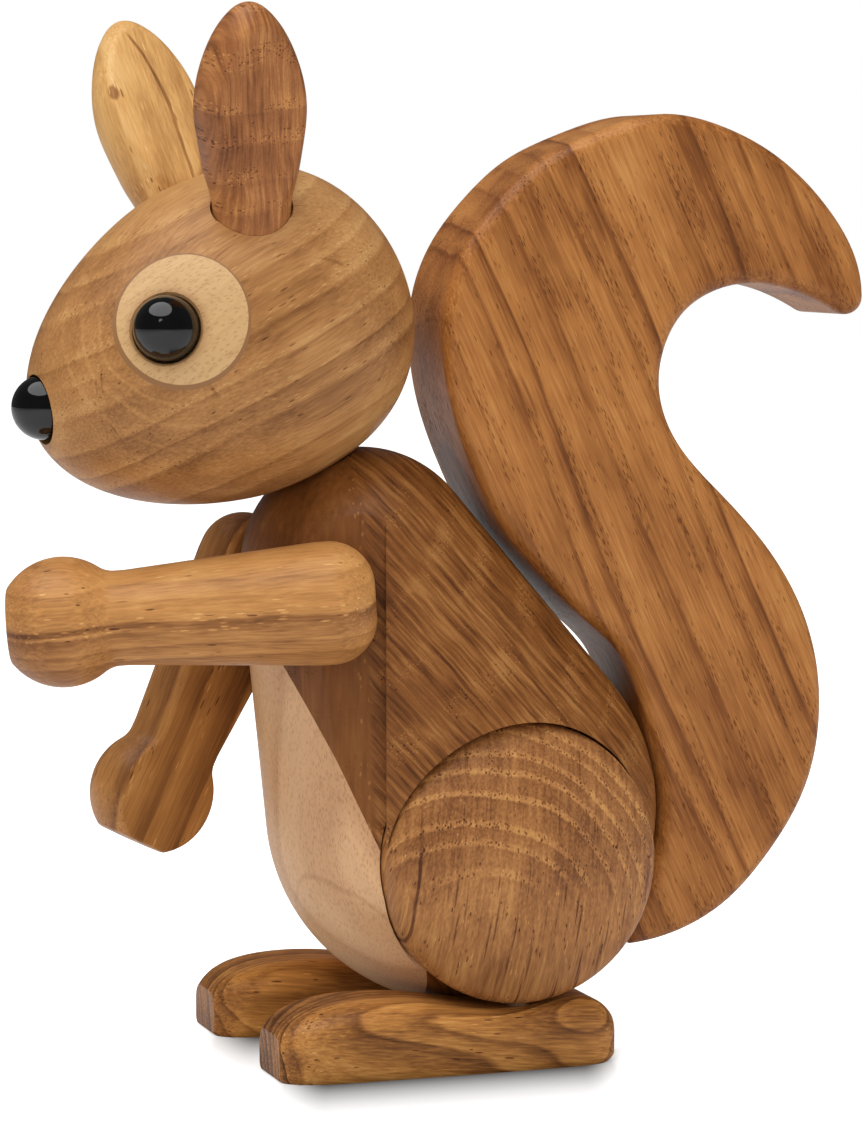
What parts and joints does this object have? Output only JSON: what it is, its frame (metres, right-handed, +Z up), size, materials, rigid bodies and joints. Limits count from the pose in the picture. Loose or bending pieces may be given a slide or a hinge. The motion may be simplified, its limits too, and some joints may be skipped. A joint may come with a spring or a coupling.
{
  "type": "jointed wooden squirrel figurine",
  "caption": "Sitting wooden squirrel figurine with a turned oak body, a head that turns on its neck, arms that swing at the shoulder and a flat curled tail behind.",
  "frame": {"origin": "centre of the figure's footprint at the level the feet stand on", "axes": "+Z up, -Y towards the nose, +X towards the figure's left side"},
  "size_m": [0.0644, 0.1422, 0.1637],
  "materials": {
    "oak": "oiled, satin",
    "maple": "oiled, satin",
    "black_bead": "polished",
    "beech_dowel": "plain"
  },
  "bodies": {
    "torso": {"torso": "oak", "belly": "maple", "neck_pin": "beech_dowel", "left_haunch": "oak", "right_haunch": "oak", "left_haunch_dowel": "beech_dowel", "right_haunch_dowel": "beech_dowel", "left_foot": "oak", "right_foot": "oak", "left_foot_dowel": "beech_dowel", "right_foot_dowel": "beech_dowel", "tail": "oak", "upper_tail_dowel": "beech_dowel", "lower_tail_dowel": "beech_dowel"},
    "head": {"head": "oak", "nose": "black_bead", "left_eye": "black_bead", "right_eye": "black_bead", "left_eye_disc": "maple", "right_eye_disc": "maple", "left_ear": "oak", "right_ear": "oak"},
    "left_arm": {"left_arm": "oak", "left_shoulder_pin": "beech_dowel"},
    "right_arm": {"right_arm": "oak", "right_shoulder_pin": "beech_dowel"}
  },
  "joints": [
    {"name": "head_turn", "type": "hinge", "parent": "torso", "child": "head", "pos_m": [0, -0.01147, 0.07663], "axis": [0, -0.3955, 0.9184], "range_deg": [-97, 83]},
    {"name": "left_arm_swing", "type": "hinge", "parent": "torso", "child": "left_arm", "pos_m": [0.01958, -0.02446, 0.07299], "axis": [0.9474, -0.3078, 0.0872], "range_deg": [-12, 80]},
    {"name": "right_arm_swing", "type": "hinge", "parent": "torso", "child": "right_arm", "pos_m": [-0.0197, -0.02365, 0.07449], "axis": [0.9474, 0.3078, -0.0872], "range_deg": [-70, 20]}
  ]
}
